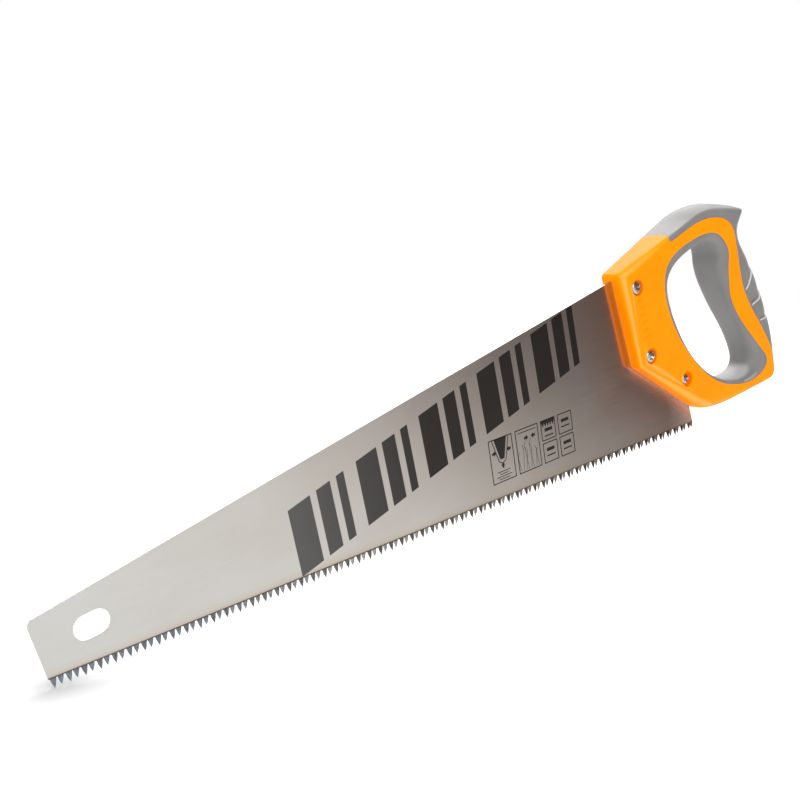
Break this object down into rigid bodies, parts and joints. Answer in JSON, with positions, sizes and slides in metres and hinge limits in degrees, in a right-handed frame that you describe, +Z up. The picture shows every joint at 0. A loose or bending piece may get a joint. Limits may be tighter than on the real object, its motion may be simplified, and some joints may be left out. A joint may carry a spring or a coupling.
{
  "type": "hand saw",
  "caption": "Panel hand saw: tapered toothed blade with a hang slot, screwed into a closed two-colour pistol handle with soft grip.",
  "frame": {"origin": "middle of the hand grip, in the blade's middle plane", "axes": "+X along the tooth line from the toe to the handle, +Y across the blade, +Z up with the teeth down"},
  "size_m": [0.5346, 0.0288, 0.1466],
  "materials": {
    "blade_steel": "fine brushed, lacquered",
    "core_plastic": "semi-gloss moulded",
    "grip_rubber": "matt soft-touch",
    "plated_steel": "bright zinc plated"
  },
  "bodies": {
    "root": {"blade": "blade_steel", "handle_core": "core_plastic", "palm_grip": "grip_rubber", "finger_lining": "grip_rubber", "screw_upper": "plated_steel", "screw_middle": "plated_steel", "screw_lower": "plated_steel", "nut_upper": "plated_steel", "nut_middle": "plated_steel", "nut_lower": "plated_steel"}
  },
  "joints": []
}
